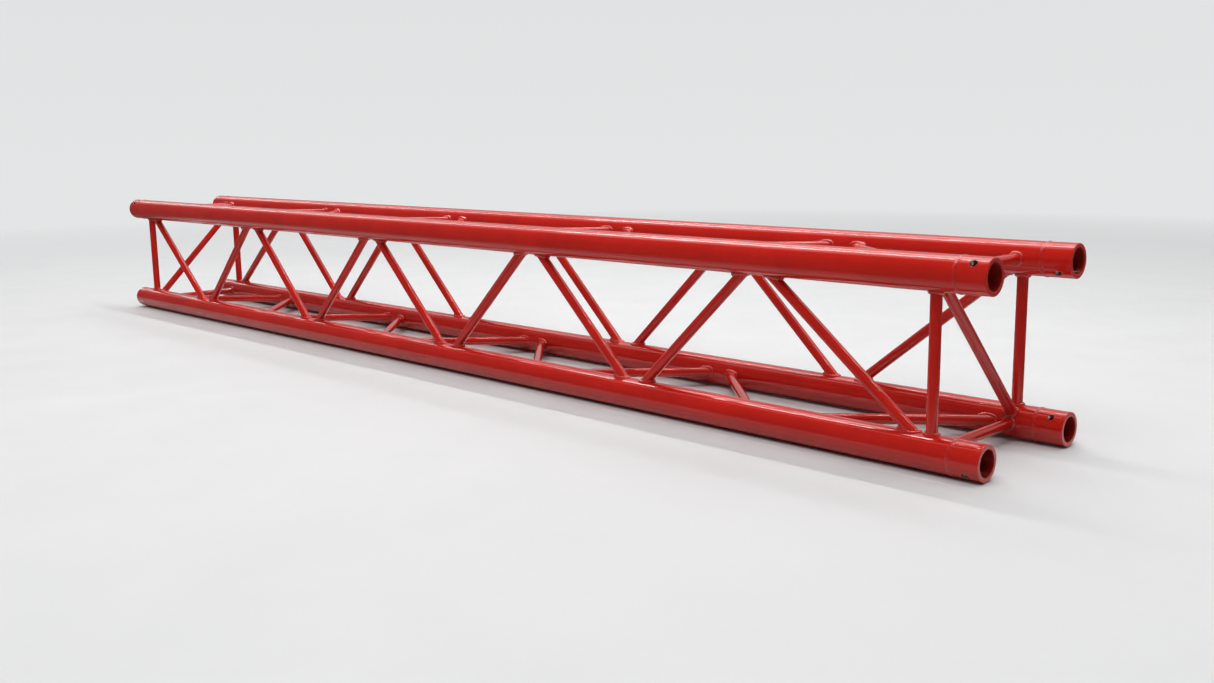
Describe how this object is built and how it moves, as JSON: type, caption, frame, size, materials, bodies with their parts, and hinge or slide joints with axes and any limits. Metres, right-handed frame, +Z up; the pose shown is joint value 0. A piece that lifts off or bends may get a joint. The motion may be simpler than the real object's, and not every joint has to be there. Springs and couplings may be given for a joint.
{
  "type": "lighting truss section",
  "caption": "Square box truss section for stage lighting, with tubular chords that end in tapered sockets, zigzag bracing on every face, end rungs and inner end braces, all welded.",
  "frame": {"origin": "centre of the section: half way along it, on the line that all four chords go round", "axes": "+X along the section towards its right end, +Y from the front face to the rear face, +Z up"},
  "size_m": [2.5, 0.2916, 0.2918],
  "materials": {
    "powder_coat": "gloss",
    "weld_coat": "gloss"
  },
  "bodies": {
    "root": {"front_top_chord": "powder_coat", "front_bottom_chord": "powder_coat", "rear_bottom_chord": "powder_coat", "rear_top_chord": "powder_coat", "left_front_top_receiver": "powder_coat", "left_front_bottom_receiver": "powder_coat", "left_rear_bottom_receiver": "powder_coat", "left_rear_top_receiver": "powder_coat", "right_front_top_receiver": "powder_coat", "right_front_bottom_receiver": "powder_coat", "right_rear_bottom_receiver": "powder_coat", "right_rear_top_receiver": "powder_coat", "left_front_rung": "powder_coat", "left_bottom_rung": "powder_coat", "left_rear_rung": "powder_coat", "left_top_rung": "powder_coat", "right_front_rung": "powder_coat", "right_bottom_rung": "powder_coat", "right_rear_rung": "powder_coat", "right_top_rung": "powder_coat", "left_cross_brace": "powder_coat", "right_cross_brace": "powder_coat", "front_diagonal_1": "powder_coat", "front_diagonal_2": "powder_coat", "front_diagonal_3": "powder_coat", "front_diagonal_4": "powder_coat", "front_diagonal_5": "powder_coat", "front_diagonal_6": "powder_coat", "front_diagonal_7": "powder_coat", "front_diagonal_8": "powder_coat", "front_diagonal_9": "powder_coat", "bottom_diagonal_1": "powder_coat", "bottom_diagonal_2": "powder_coat", "bottom_diagonal_3": "powder_coat", "bottom_diagonal_4": "powder_coat", "bottom_diagonal_5": "powder_coat", "bottom_diagonal_6": "powder_coat", "bottom_diagonal_7": "powder_coat", "bottom_diagonal_8": "powder_coat", "bottom_diagonal_9": "powder_coat", "rear_diagonal_1": "powder_coat", "rear_diagonal_2": "powder_coat", "rear_diagonal_3": "powder_coat", "rear_diagonal_4": "powder_coat", "rear_diagonal_5": "powder_coat", "rear_diagonal_6": "powder_coat", "rear_diagonal_7": "powder_coat", "rear_diagonal_8": "powder_coat", "rear_diagonal_9": "powder_coat", "top_diagonal_1": "powder_coat", "top_diagonal_2": "powder_coat", "top_diagonal_3": "powder_coat", "top_diagonal_4": "powder_coat", "top_diagonal_5": "powder_coat", "top_diagonal_6": "powder_coat", "top_diagonal_7": "powder_coat", "top_diagonal_8": "powder_coat", "top_diagonal_9": "powder_coat", "end_welds": "weld_coat", "panel_welds": "weld_coat"}
  },
  "joints": []
}
